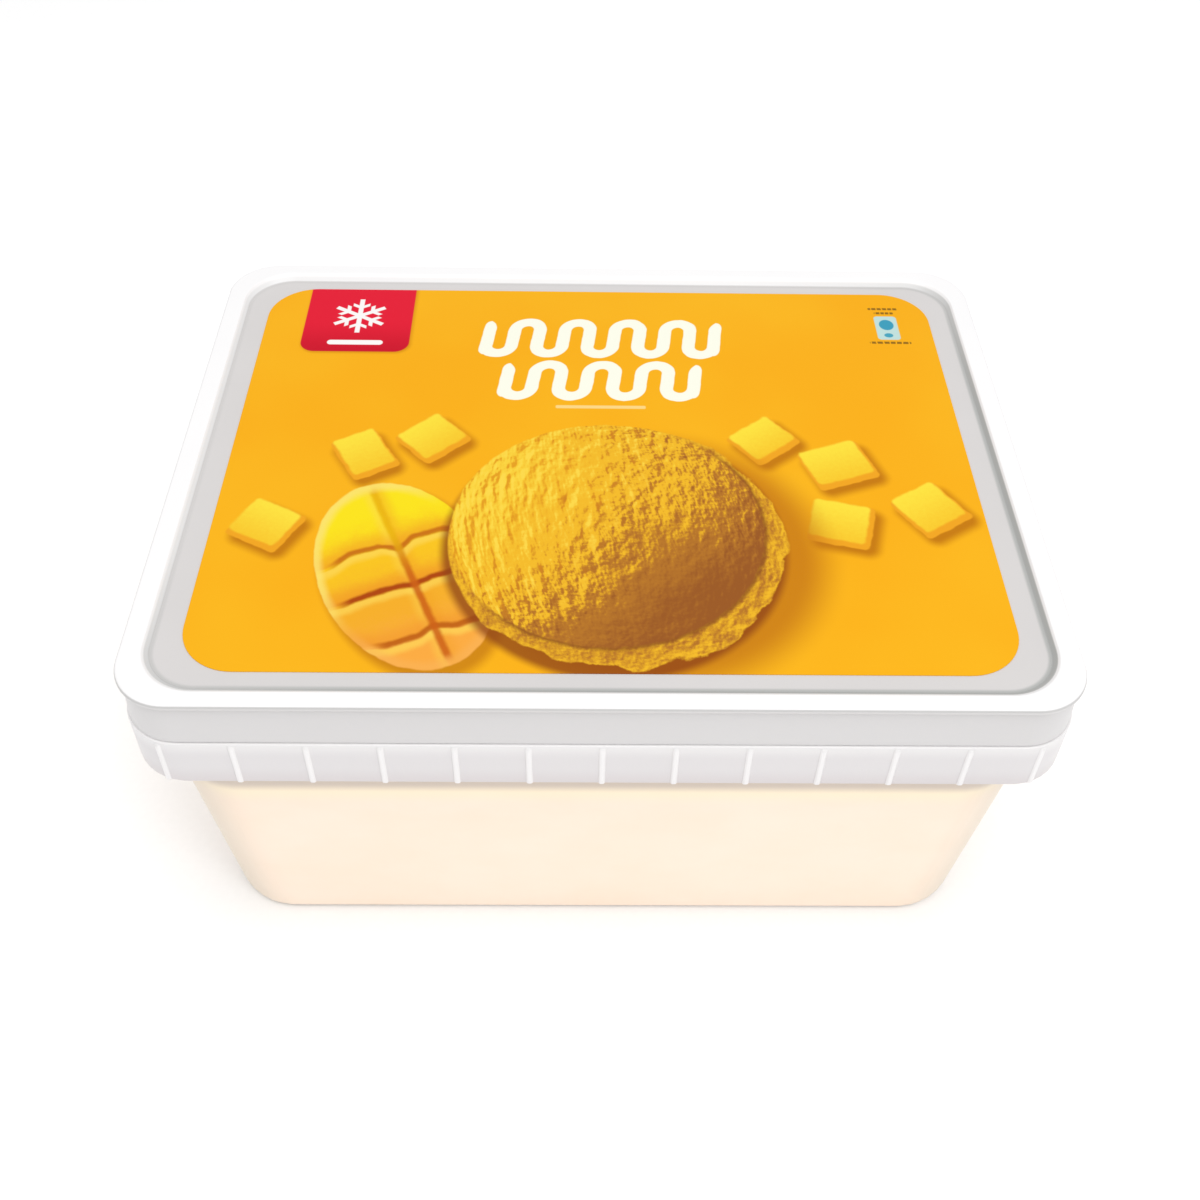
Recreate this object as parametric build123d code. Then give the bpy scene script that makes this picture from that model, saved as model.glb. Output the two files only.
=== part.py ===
from build123d import *

import math
import os

# A family-size ice cream tub, shut: a tapered moulded tub whose ribbed collar hangs below the lid,
# a push-on lid with a raised rim round a sunk panel, and a printed label on that panel.
# Millimetres. +X runs along the long side, +Y from the front to the back, +Z up.
# The origin is the middle of the foot on which the tub stands.

# Lid
LID_LENGTH = 180.0
LID_WIDTH = 138.0
LID_CORNER = 11.0
TOP_Z = 84.2
LIP_THICKNESS = 1.5
LIP_ROUNDING = 0.6
SKIRT_DEPTH = 11.0
SKIRT_TOP_INSET = 0.9
SKIRT_BOTTOM_INSET = 0.1
SKIRT_WALL = 1.3
PANEL_DEPTH = 1.4
PANEL_THICKNESS = 1.0
RIM_LENGTH_INSET = 4.2
RIM_WIDTH_INSET = 3.5
PANEL_LENGTH_INSET = 5.3
PANEL_WIDTH_INSET = 5.2
PANEL_CORNER = 10.0
RIM_INNER_CORNER = 11.0

# Label
LABEL_LENGTH = 159.0
LABEL_WIDTH = 120.4
LABEL_CORNER = 11.0
LABEL_THICKNESS = 0.2
LABEL_SHIFT = 0.35

# Tub
BODY_TOP_LENGTH = 175.2
BODY_TOP_WIDTH = 133.2
BODY_TOP_CORNER = 16.0
BODY_CORNER_TAPER = 0.25
BODY_DRAFT = math.radians(3.7)
FOOT_ROUNDING = 2.5
FOOT_RING_WIDTH = 5.0
FOOT_RECESS_DEPTH = 0.9
GATE_RADIUS = 4.0
GATE_HEIGHT = 0.5
NECK_CLEARANCE = 0.5
LID_GAP = 0.15

# Collar
COLLAR_DEPTH = 11.6
COLLAR_TOP_INSET = -0.3
COLLAR_BOTTOM_INSET = -0.6
COLLAR_WALL = 0.9
LEDGE_THICKNESS = 1.4
RIB_COUNT = 45
RIB_WIDTH = 1.3
RIB_INSET = -1.0
RIB_ROOT = 4.5
RIB_TOP_GAP = 0.3
RIB_FOOT_DROP = 0.25

# How closely an edge's height has to match the height it is looked up by
HEIGHT_MATCH = 0.01

# Heights that follow from the sizes above
SKIRT_Z = TOP_Z - SKIRT_DEPTH
LIP_Z = TOP_Z - LIP_THICKNESS
PANEL_Z = TOP_Z - PANEL_DEPTH
NECK_TOP_Z = PANEL_Z - PANEL_THICKNESS
COLLAR_TOP_Z = SKIRT_Z - LID_GAP
COLLAR_Z = COLLAR_TOP_Z - COLLAR_DEPTH
LEDGE_Z = COLLAR_TOP_Z - LEDGE_THICKNESS


def lid_outline(inset):
    """Length, width and corner radius of the lid's outline, moved inward by an inset."""
    return LID_LENGTH - 2 * inset, LID_WIDTH - 2 * inset, LID_CORNER - inset


def body_outline(z):
    """Length, width and corner radius of the tub's tapered wall at a height."""
    inset = (COLLAR_Z - z) * math.tan(BODY_DRAFT)
    corner = BODY_TOP_CORNER - inset * BODY_CORNER_TAPER
    return BODY_TOP_LENGTH - 2 * inset, BODY_TOP_WIDTH - 2 * inset, corner


def tapered(low, low_z, high, high_z):
    """A solid with straight tapered walls between two rounded rectangles."""
    sections = [
        Plane.XY.offset(low_z) * RectangleRounded(*low),
        Plane.XY.offset(high_z) * RectangleRounded(*high),
    ]
    return loft(sections, ruled=True)


def edges_at(solid, z):
    """The solid's level edges at one height."""
    level = [edge for edge in solid.edges() if edge.bounding_box().size.Z < HEIGHT_MATCH]
    return [edge for edge in level if abs(edge.center().Z - z) < HEIGHT_MATCH]


def make_lid():
    """The push-on lid: lip, skirt, raised rim and sunk panel in one moulding."""
    skirt = tapered(lid_outline(SKIRT_BOTTOM_INSET), SKIRT_Z, lid_outline(SKIRT_TOP_INSET), LIP_Z)
    lip = Plane.XY.offset(LIP_Z) * extrude(RectangleRounded(*lid_outline(0)), LIP_THICKNESS)
    lip = fillet(edges_at(lip, TOP_Z) + edges_at(lip, LIP_Z), LIP_ROUNDING)
    inside = lid_outline(SKIRT_BOTTOM_INSET + SKIRT_WALL)
    cavity = Plane.XY.offset(SKIRT_Z) * extrude(RectangleRounded(*inside), NECK_TOP_Z - SKIRT_Z)
    rim_inner = (LID_LENGTH - 2 * RIM_LENGTH_INSET, LID_WIDTH - 2 * RIM_WIDTH_INSET, RIM_INNER_CORNER)
    panel = (LID_LENGTH - 2 * PANEL_LENGTH_INSET, LID_WIDTH - 2 * PANEL_WIDTH_INSET, PANEL_CORNER)
    recess = tapered(panel, PANEL_Z, rim_inner, TOP_Z)
    lid = skirt + lip - cavity - recess
    return fillet(edges_at(lid, TOP_Z), LIP_ROUNDING / 2)


def make_label():
    """The thin printed label that covers the middle of the sunk panel."""
    outline = Pos(0, LABEL_SHIFT, PANEL_Z) * RectangleRounded(LABEL_LENGTH, LABEL_WIDTH, LABEL_CORNER)
    return extrude(outline, LABEL_THICKNESS)


def rib_stations():
    """Place and heading of every rib, evenly spaced round the collar from the middle of its front."""
    length, width, corner = lid_outline(RIB_INSET)
    front = length / 2 - corner
    side = width / 2 - corner
    bend = corner * math.pi / 2
    quarter = front + bend + side
    pitch = 4 * quarter / RIB_COUNT
    stations = []
    for index in range(RIB_COUNT):
        turn, distance = divmod(index * pitch, 2 * quarter)
        mirrored = distance > quarter
        along = 2 * quarter - distance if mirrored else distance
        if along < front:
            x, y, heading = along, -width / 2, -90.0
        elif along < front + bend:
            angle = (along - front) / corner
            x = front + corner * math.sin(angle)
            y = -side - corner * math.cos(angle)
            heading = math.degrees(angle) - 90.0
        else:
            x, y, heading = length / 2, along - front - bend - side, 0.0
        if mirrored:
            y, heading = -y, -heading
        if turn:
            x, y, heading = -x, -y, heading + 180.0
        stations.append((x, y, heading))
    return stations


def make_ribs():
    """Upright ribs that stand proud of the collar and tie it to the tub's wall."""
    height = COLLAR_TOP_Z - RIB_TOP_GAP - COLLAR_Z + RIB_FOOT_DROP
    blank = Box(RIB_ROOT, RIB_WIDTH, height, align=(Align.MAX, Align.CENTER, Align.MIN))
    base = COLLAR_Z - RIB_FOOT_DROP
    return [Pos(x, y, base) * Rot(0, 0, heading) * blank for x, y, heading in rib_stations()]


def make_tub():
    """The filled tub: tapered body, neck under the lid, and the ribbed collar hanging from a ledge."""
    body = tapered(body_outline(0), 0, body_outline(COLLAR_TOP_Z), COLLAR_TOP_Z)
    body = fillet(edges_at(body, 0), FOOT_ROUNDING)
    foot_length, foot_width, foot_corner = body_outline(0)
    ring = FOOT_ROUNDING + FOOT_RING_WIDTH
    recess_outline = RectangleRounded(foot_length - 2 * ring, foot_width - 2 * ring, foot_corner - ring / 2)
    recess = extrude(recess_outline, FOOT_RECESS_DEPTH)
    gate_disc = Cylinder(GATE_RADIUS, GATE_HEIGHT, align=(Align.CENTER, Align.CENTER, Align.MAX))
    gate = Pos(0, 0, FOOT_RECESS_DEPTH) * gate_disc
    neck_outline = lid_outline(SKIRT_BOTTOM_INSET + SKIRT_WALL + NECK_CLEARANCE)
    neck = Plane.XY.offset(COLLAR_TOP_Z) * extrude(RectangleRounded(*neck_outline), NECK_TOP_Z - COLLAR_TOP_Z)
    outside = tapered(lid_outline(COLLAR_BOTTOM_INSET), COLLAR_Z, lid_outline(COLLAR_TOP_INSET), COLLAR_TOP_Z)
    hollow = tapered(
        lid_outline(COLLAR_BOTTOM_INSET + COLLAR_WALL), COLLAR_Z,
        lid_outline(COLLAR_TOP_INSET + COLLAR_WALL), LEDGE_Z,
    )
    collar = outside - hollow
    return (body - recess) + gate + neck + collar + make_ribs()


NODES = {
    "tub": make_tub(),
    "lid": make_lid(),
    "label": make_label(),
}

os.makedirs("parts", exist_ok=True)
for name, shape in NODES.items():
    export_step(shape, f"parts/{name}.step")
    size = shape.bounding_box().size
    print(f"{name}: {len(shape.solids())} solid, {shape.volume / 1000:.1f} cm3, "
          f"{size.X:.1f} x {size.Y:.1f} x {size.Z:.1f} mm, {shape.is_valid}")
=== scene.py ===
"""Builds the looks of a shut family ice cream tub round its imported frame.

Everything is in metres: +X along the tub's long side, +Y from the front to the back, +Z up. The
sizes of the artwork on the label are in millimetres from the label's middle.
"""

import logging
import math
from dataclasses import dataclass, field
from enum import Enum
from typing import Callable, Optional, Union

import bmesh
import bpy
from mathutils import Matrix, Vector


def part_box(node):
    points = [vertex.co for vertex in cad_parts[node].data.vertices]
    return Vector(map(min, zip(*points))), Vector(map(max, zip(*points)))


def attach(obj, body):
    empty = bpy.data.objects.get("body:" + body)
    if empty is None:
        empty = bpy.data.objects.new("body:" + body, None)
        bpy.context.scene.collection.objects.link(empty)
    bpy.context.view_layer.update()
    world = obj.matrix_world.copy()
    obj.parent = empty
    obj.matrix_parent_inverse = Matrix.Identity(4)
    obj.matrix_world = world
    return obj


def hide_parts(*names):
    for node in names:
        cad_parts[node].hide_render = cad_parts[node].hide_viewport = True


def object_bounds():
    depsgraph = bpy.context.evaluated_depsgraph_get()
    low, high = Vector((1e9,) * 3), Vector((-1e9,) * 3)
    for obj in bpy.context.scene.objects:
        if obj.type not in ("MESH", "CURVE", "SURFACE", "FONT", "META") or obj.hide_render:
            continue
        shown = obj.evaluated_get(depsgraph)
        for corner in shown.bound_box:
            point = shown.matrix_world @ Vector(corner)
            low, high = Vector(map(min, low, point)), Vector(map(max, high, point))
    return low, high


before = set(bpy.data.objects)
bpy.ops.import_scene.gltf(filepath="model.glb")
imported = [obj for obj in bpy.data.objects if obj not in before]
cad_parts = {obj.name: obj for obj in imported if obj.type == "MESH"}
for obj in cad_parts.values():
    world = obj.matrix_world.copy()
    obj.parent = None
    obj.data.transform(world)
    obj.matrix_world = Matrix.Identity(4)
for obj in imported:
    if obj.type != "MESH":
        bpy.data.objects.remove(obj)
CAD_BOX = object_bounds()

MM = 0.001
ROOT = "root"

# How far a face that closes a profile stands in from the profile's last corner
CAP_INSET = 8 * MM
# The number of spans of a rounded outline: four sides and four corners
SPANS = 8
# The most of a profile's side that one rounding may take
SIDE_SHARE = 0.49
# How strongly large faces pull the shading of the edges they share with small ones
LARGE_FACE_WEIGHT = 80

Colour = tuple[float, float, float]
log = logging.getLogger("ice_cream_tub")


def tint(red: float, green: float, blue: float) -> Colour:
    """Turns a display colour into a linear one.

    Args:
        red: Display red, 0 to 255.
        green: Display green, 0 to 255.
        blue: Display blue, 0 to 255.

    Returns:
        The colour as linear red, green and blue from 0 to 1.
    """
    shares = (red / 255, green / 255, blue / 255)
    return tuple(s / 12.92 if s <= 0.04045 else ((s + 0.055) / 1.055) ** 2.4 for s in shares)


# --- Shapes: rounded outlines, profiles with rounded corners, and the sweep of one along the other ---


@dataclass(frozen=True)
class Station:
    """A place on any rounded outline.

    Attributes:
        span: Which of the eight spans it is on: 0 is the front, 1 the corner to its right, and so
            on anticlockwise.
        along: How far along that span it is, from 0 to 1.
        crest: How much of a rib stands here, from 0 to 1.
    """

    span: int
    along: float
    crest: float = 0.0


@dataclass(frozen=True)
class Outline:
    """A rounded rectangle seen from above.

    Attributes:
        length: Its size along X.
        width: Its size along Y.
        corner: The radius of its corners.
    """

    length: float
    width: float
    corner: float

    def inset(self, by: float) -> "Outline":
        """Returns the outline moved inward by a distance."""
        return Outline(self.length - 2 * by, self.width - 2 * by, self.corner - by)

    def toward(self, other: "Outline", share: float) -> "Outline":
        """Finds the outline between this one and another.

        Args:
            other: The other outline.
            share: How far to go towards it, from 0 to 1.

        Returns:
            The outline.
        """
        keep = 1 - share
        return Outline(
            self.length * keep + other.length * share,
            self.width * keep + other.width * share,
            self.corner * keep + other.corner * share,
        )

    def span_lengths(self) -> list[float]:
        """Works out the lengths of the eight spans.

        Returns:
            The lengths, from the front anticlockwise.
        """
        bend = self.corner * math.pi / 2
        long_side = self.length - 2 * self.corner
        short_side = self.width - 2 * self.corner
        return [long_side, bend, short_side, bend] * 2

    def at(self, station: Station) -> tuple[Vector, Vector]:
        """Finds a station's point and its outward direction.

        Args:
            station: The place on the outline.

        Returns:
            The point and the unit direction that points out of the outline there.
        """
        side = station.span // 2
        heading = math.radians(90 * side - 90)
        across = (self.length if side % 2 == 0 else self.width) / 2 - self.corner
        out = (self.width if side % 2 == 0 else self.length) / 2
        normal = Vector((math.cos(heading), math.sin(heading), 0))
        tangent = Vector((-normal.y, normal.x, 0))
        if station.span % 2 == 0:
            return normal * out + tangent * across * (2 * station.along - 1), normal
        turned = heading + station.along * math.pi / 2
        outward = Vector((math.cos(turned), math.sin(turned), 0))
        return normal * (out - self.corner) + tangent * across + outward * self.corner, outward

    def walk(self, distance: float, crest: float = 0.0) -> Station:
        """Finds the station at a distance anticlockwise from the middle of the front.

        Args:
            distance: The distance along this outline.
            crest: How much of a rib stands there.

        Returns:
            The station.
        """
        spans = self.span_lengths()
        left = (distance + spans[0] / 2) % sum(spans)
        for index, length in enumerate(spans):
            if left <= length:
                return Station(index, left / length, crest)
            left -= length
        return Station(0, 0.0, crest)


def plain_stations(straight_steps: int, corner_steps: int) -> list[Station]:
    """Lists stations all round an outline, evenly spaced on each span.

    Args:
        straight_steps: The number of steps on each straight span.
        corner_steps: The number of steps on each corner.

    Returns:
        The stations, anticlockwise.
    """
    stations = []
    for span in range(SPANS):
        steps = straight_steps if span % 2 == 0 else corner_steps
        stations += [Station(span, step / steps) for step in range(steps)]
    return stations


@dataclass(frozen=True)
class Bend:
    """One corner of a profile: an outline at a height, and how the profile turns there.

    Attributes:
        outline: The outline at this height.
        height: The height above the foot.
        rounding: The radius that the profile's corner is rounded to.
        relief: How far a rib's crest pushes this ring outward.
    """

    outline: Outline
    height: float
    rounding: float = 0.0
    relief: float = 0.0

    def gap(self, other: "Bend") -> Vector:
        """Returns the step to another bend, across and up, in the profile's own plane."""
        return Vector(((other.outline.length - self.outline.length) / 2, other.height - self.height))

    def toward(self, other: "Bend", share: float) -> "Bend":
        """Finds the sharp bend between this one and another.

        Args:
            other: The other bend.
            share: How far to go towards it, from 0 to 1.

        Returns:
            The bend.
        """
        return Bend(
            self.outline.toward(other.outline, share),
            self.height * (1 - share) + other.height * share,
            0.0,
            self.relief * (1 - share) + other.relief * share,
        )


def rounded(bends: list[Bend], steps: int = 5) -> list[Bend]:
    """Rounds a profile's corners.

    Args:
        bends: The profile's corners in order.
        steps: The number of steps round each corner.

    Returns:
        The rings of the profile, with each corner as an arc.
    """
    rings = [bends[0]]
    for before, here, after in zip(bends, bends[1:], bends[2:]):
        back, ahead = here.gap(before), here.gap(after)
        turn = math.pi - back.angle(ahead)
        reach = here.rounding * math.tan(turn / 2)
        if reach <= 0:
            rings.append(here)
            continue
        first = here.toward(before, min(reach / back.length, SIDE_SHARE))
        last = here.toward(after, min(reach / ahead.length, SIDE_SHARE))
        weight = math.cos(turn / 2)
        for step in range(steps + 1):
            t = step / steps
            pull = 2 * weight * t * (1 - t)
            ends = (1 - t) ** 2 + t * t
            chord = first.toward(last, t * t / ends)
            rings.append(chord.toward(here, pull / (pull + ends)))
    rings.append(bends[-1])
    return rings


def sweep(name: str, rings: list[Bend], stations: list[Station]) -> bpy.types.Object:
    """Sweeps a profile round its outlines into one closed mesh.

    Args:
        name: The piece's name.
        rings: The profile's rings, from the cap in the underside to the cap on top.
        stations: The stations that every ring has a point at, anticlockwise.

    Returns:
        The piece, smooth shaded, with each face weighing on its corners' normals by its area. Its
        point attribute "crest" holds the stations' crests.
    """
    mesh = bpy.data.meshes.new(name)
    build = bmesh.new()
    crest_layer = build.verts.layers.float.new("crest")
    loops = []
    for ring in rings:
        loop = []
        for station in stations:
            point, outward = ring.outline.at(station)
            place = point + outward * ring.relief * station.crest
            vert = build.verts.new((place.x, place.y, ring.height))
            vert[crest_layer] = station.crest if ring.relief else 0.0
            loop.append(vert)
        loops.append(loop)
    count = len(stations)
    for low, high in zip(loops, loops[1:]):
        for index in range(count):
            following = (index + 1) % count
            build.faces.new((low[index], low[following], high[following], high[index]))
    build.faces.new(loops[0][::-1])
    build.faces.new(loops[-1])
    bmesh.ops.recalc_face_normals(build, faces=build.faces)
    for face in build.faces:
        face.smooth = True
    build.to_mesh(mesh)
    build.free()
    piece = bpy.data.objects.new(name, mesh)
    bpy.context.scene.collection.objects.link(piece)
    weigh = piece.modifiers.new("even shading", "WEIGHTED_NORMAL")
    weigh.weight = LARGE_FACE_WEIGHT
    return piece


# --- Material maths ---


def arithmetic(operation: str, turned: bool = False) -> Callable[["Value", "Number"], "Value"]:
    """Makes a method of Value that adds one Math node.

    Args:
        operation: The Math node's operation.
        turned: Whether the other value comes first.

    Returns:
        The method.
    """

    def method(self: "Value", other: "Number") -> "Value":
        """Returns the result of the operation on the two values."""
        terms = (other, self) if turned else (self, other)
        return self.paint.math(operation, *terms)

    return method


class Value:
    """A number that changes over a surface. Arithmetic on it adds Math nodes."""

    __add__ = __radd__ = arithmetic("ADD")
    __sub__ = arithmetic("SUBTRACT")
    __rsub__ = arithmetic("SUBTRACT", turned=True)
    __mul__ = __rmul__ = arithmetic("MULTIPLY")
    __truediv__ = arithmetic("DIVIDE")
    least = arithmetic("MINIMUM")
    most = arithmetic("MAXIMUM")

    def __init__(self, paint: "Paint", socket: bpy.types.NodeSocket) -> None:
        """Wraps one output socket of a paint's node tree."""
        self.paint = paint
        self.socket = socket

    def __abs__(self) -> "Value":
        """Returns the size of the value without its sign."""
        return self.paint.math("ABSOLUTE", self)

    def root(self) -> "Value":
        """Returns the square root, with anything below zero taken as zero."""
        return self.paint.math("SQRT", self.most(0.0))

    def wrap(self, low: float, high: float) -> "Value":
        """Returns the value wrapped into a range."""
        return self.paint.math("WRAP", self, high, low)

    def ramp(self, start: float, end: float) -> "Value":
        """Blends smoothly from 0 at one value to 1 at another.

        Args:
            start: The value that gives 0.
            end: The value that gives 1, which may be lower than start.

        Returns:
            The blend.
        """
        settings = {"interpolation_type": "SMOOTHSTEP"}
        low, high = min(start, end), max(start, end)
        node = self.paint.node("ShaderNodeMapRange", settings, {0: self, 1: low, 2: high})
        rising = Value(self.paint, node.outputs[0])
        return rising if start < end else 1 - rising


Number = Union[Value, float]
Shade = Union[Colour, bpy.types.NodeSocket]


class Paint:
    """One material's node tree, round a single Principled shader."""

    def __init__(self, name: str) -> None:
        """Makes an empty material with its shader and output.

        Args:
            name: The material's name.
        """
        self.material = bpy.data.materials.new(name)
        self.material.use_nodes = True
        self.tree = self.material.node_tree
        self.tree.nodes.clear()
        self.shader = self.node("ShaderNodeBsdfPrincipled")
        self.node("ShaderNodeOutputMaterial", {}, {"Surface": self.shader.outputs[0]})

    def node(
        self, kind: str, settings: Optional[dict] = None, sockets: Optional[dict] = None,
    ) -> bpy.types.Node:
        """Adds a node.

        Args:
            kind: The node's type.
            settings: Its properties, set first.
            sockets: A value, colour or link for each input, by name or by number.

        Returns:
            The node.
        """
        made = self.tree.nodes.new(kind)
        for name, setting in (settings or {}).items():
            setattr(made, name, setting)
        for key, value in (sockets or {}).items():
            self.feed(made.inputs[key], value)
        return made

    def feed(self, target: bpy.types.NodeSocket, value: object) -> None:
        """Sets or links one input.

        Args:
            target: The input socket.
            value: A number, a colour, an output socket or a Value.
        """
        if isinstance(value, Value):
            self.tree.links.new(value.socket, target)
        elif isinstance(value, bpy.types.NodeSocket):
            self.tree.links.new(value, target)
        elif isinstance(value, tuple) and target.type == "RGBA":
            target.default_value = (*value, 1.0)
        else:
            target.default_value = value

    def math(self, operation: str, *terms: Number) -> Value:
        """Adds a Math node.

        Args:
            operation: The operation's name.
            terms: The values that it works on.

        Returns:
            The result.
        """
        node = self.node("ShaderNodeMath", {"operation": operation}, dict(enumerate(terms)))
        return Value(self, node.outputs[0])

    def place(self) -> tuple[Value, Value, Value]:
        """Finds the surface's own place.

        Returns:
            The place along X, Y and Z, in millimetres.
        """
        spot = self.node("ShaderNodeTexCoord").outputs["Object"]
        scaled = self.node("ShaderNodeVectorMath", {"operation": "SCALE"}, {0: spot, "Scale": 1 / MM})
        parts = self.node("ShaderNodeSeparateXYZ", {}, {0: scaled.outputs[0]})
        return tuple(Value(self, output) for output in parts.outputs)

    def attribute(self, name: str) -> Value:
        """Returns a number that the mesh holds at each point."""
        node = self.node("ShaderNodeAttribute", {"attribute_name": name})
        return Value(self, node.outputs["Fac"])

    def noise(self, x: Number, y: Number, z: Number, detail: float = 2.0, rough: float = 0.5) -> Value:
        """Adds a smooth random field.

        Args:
            x: The first coordinate, in grains.
            y: The second coordinate, in grains.
            z: The third coordinate, in grains, or a number that picks another field.
            detail: The number of finer layers.
            rough: How strong the finer layers are.

        Returns:
            The field, from about -0.5 to 0.5.
        """
        spot = self.node("ShaderNodeCombineXYZ", {}, {0: x, 1: y, 2: z})
        sockets = {"Vector": spot.outputs[0], "Scale": 1.0, "Detail": detail, "Roughness": rough}
        node = self.node("ShaderNodeTexNoise", {}, sockets)
        return Value(self, node.outputs[0]) - 0.5

    def outside(self, along: Value, across: Value, length: float, width: float, corner: float) -> Value:
        """Measures how far outside a rounded rectangle each place is.

        Args:
            along: The place along its length, from its middle.
            across: The place along its width.
            length: Its length.
            width: Its width.
            corner: The radius of its corners.

        Returns:
            The distance, negative inside.
        """
        end, side = abs(along) - (length / 2 - corner), abs(across) - (width / 2 - corner)
        past_end, past_side = end.most(0.0), side.most(0.0)
        within = end.most(side).least(0.0)
        return (past_end * past_end + past_side * past_side).root() + within - corner

    def over(self, under: Shade, top: Shade, mask: Number) -> bpy.types.NodeSocket:
        """Lays one colour over another.

        Args:
            under: The colour below.
            top: The colour on top.
            mask: Where the top colour shows, from 0 to 1.

        Returns:
            The blended colour.
        """
        settings = {"data_type": "RGBA", "clamp_factor": True}
        return self.node("ShaderNodeMix", settings, {0: mask, 6: under, 7: top}).outputs[2]

    def layers(self, under: Shade, *tops: tuple[Shade, Number]) -> Shade:
        """Lays several colours over one another.

        Args:
            under: The lowest colour.
            tops: The colours above it in order, each with the mask that shows where it lies.

        Returns:
            The blended colour.
        """
        for top, mask in tops:
            under = self.over(under, top, mask)
        return under

    def dress(
        self, colour: Shade, roughness: Number, height: Value, depth: float, **fixed: float,
    ) -> None:
        """Feeds the shader.

        Args:
            colour: The base colour.
            roughness: The roughness.
            height: The relief that the surface's fine bumps follow.
            depth: The height in metres of one unit of that relief.
            fixed: Further shader inputs that are the same all over, with _ for each space.
        """
        bump = self.node("ShaderNodeBump", {}, {"Height": height, "Distance": depth})
        self.feed(self.shader.inputs["Base Color"], colour)
        self.feed(self.shader.inputs["Roughness"], roughness)
        self.feed(self.shader.inputs["Normal"], bump.outputs[0])
        for name, value in fixed.items():
            self.shader.inputs[name.replace("_", " ")].default_value = value


# --- Artwork on the label, in millimetres from the label's middle ---


@dataclass(frozen=True)
class Spot:
    """A turned place on the label.

    Attributes:
        x: Its place along the long side.
        y: Its place along the short side, towards the back.
        turn: Its turn anticlockwise, in degrees.
    """

    x: float
    y: float
    turn: float = 0.0

    def moved(self, right: float, up: float) -> "Spot":
        """Returns the spot moved across the label, with the same turn."""
        return Spot(self.x + right, self.y + up, self.turn)

    def local(self, x: Value, y: Value) -> tuple[Value, Value]:
        """Turns the label's coordinates into this spot's own.

        Args:
            x: The place along the label's long side.
            y: The place along its short side.

        Returns:
            The place along the spot's turn, and across it.
        """
        c, s = math.cos(math.radians(self.turn)), math.sin(math.radians(self.turn))
        right, up = x - self.x, y - self.y
        return right * c + up * s, up * c - right * s


class Artwork:
    """The label's picture while it is being laid down, one shape over another."""

    FIBRE_SIZE = 0.9
    WOBBLE_SIZE = 3.2

    def __init__(self, paint: Paint, x: Value, y: Value, field_colour: Shade) -> None:
        """Starts the picture with a plain field.

        Args:
            paint: The material's paint.
            x: The place along the label's long side.
            y: The place along its short side.
            field_colour: The field's colour.
        """
        self.paint = paint
        self.x = x
        self.y = y
        self.colour = field_colour
        self.fibre = paint.noise(x / self.FIBRE_SIZE, y / self.FIBRE_SIZE, 3.0, 3.0, 0.6)
        self.wobble = paint.noise(x / self.WOBBLE_SIZE, y / self.WOBBLE_SIZE, 9.0, 2.0)

    def cover(self, colour: Shade, mask: Number) -> None:
        """Lays a colour over the picture where the mask is 1."""
        self.colour = self.paint.over(self.colour, colour, mask)

    def block(self, spot: Spot, length: float, width: float, corner: float) -> Value:
        """Measures how far outside a rounded block each place is.

        Args:
            spot: The block's middle and turn.
            length: Its size along its turn.
            width: Its size across.
            corner: The radius of its corners.

        Returns:
            The distance in millimetres, negative inside.
        """
        along, across = spot.local(self.x, self.y)
        return self.paint.outside(along, across, length, width, corner)

    def disc(self, spot: Spot, length: float, width: float) -> Value:
        """Measures how far out each place is on an oval.

        Args:
            spot: The oval's middle and turn.
            length: Its size along its turn.
            width: Its size across.

        Returns:
            The reach, 0 in its middle and 1 at its edge.
        """
        along, across = spot.local(self.x, self.y)
        right, up = along / (length / 2), across / (width / 2)
        return (right * right + up * up).root()


@dataclass(frozen=True)
class FruitCube:
    """A cut cube of mango lying on the field.

    Attributes:
        spot: Its middle and turn.
        length: Its size along its turn.
        width: Its size across.
    """

    spot: Spot
    length: float
    width: float

    def lay(self, art: Artwork) -> None:
        """Lays the cube's shadow, its shaded sides and its bright top.

        Args:
            art: The picture.
        """
        rim = art.wobble * 0.9
        shadow = art.block(self.spot.moved(1.1, -1.6), self.length, self.width, 2.0)
        art.cover(tint(190, 112, 12), shadow.ramp(2.0, -1.0) * 0.85)
        body = art.block(self.spot, self.length, self.width, 1.0) + rim
        art.cover(tint(244, 168, 34), body.ramp(0.25, -0.25))
        top = art.block(self.spot.moved(-0.35, 1.0), self.length - 1.1, self.width - 1.3, 0.9) + rim
        _, rise = self.spot.local(art.x, art.y)
        glow = (rise / self.width + 0.5 + art.fibre * 0.5).ramp(-0.1, 1.2)
        face = art.paint.over(tint(250, 200, 44), tint(255, 230, 66), glow)
        art.cover(face, top.ramp(0.35, -0.45))


@dataclass(frozen=True)
class Cut:
    """A cut across the mango half.

    Attributes:
        along: How far along the half's length it is.
        bulge: How far the cells push it up between the spine and the rim.
        reach: How far it runs each way from the spine.
        depth: How dark it is, from 0 to 1.
    """

    along: float
    bulge: float
    reach: float
    depth: float


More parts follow.
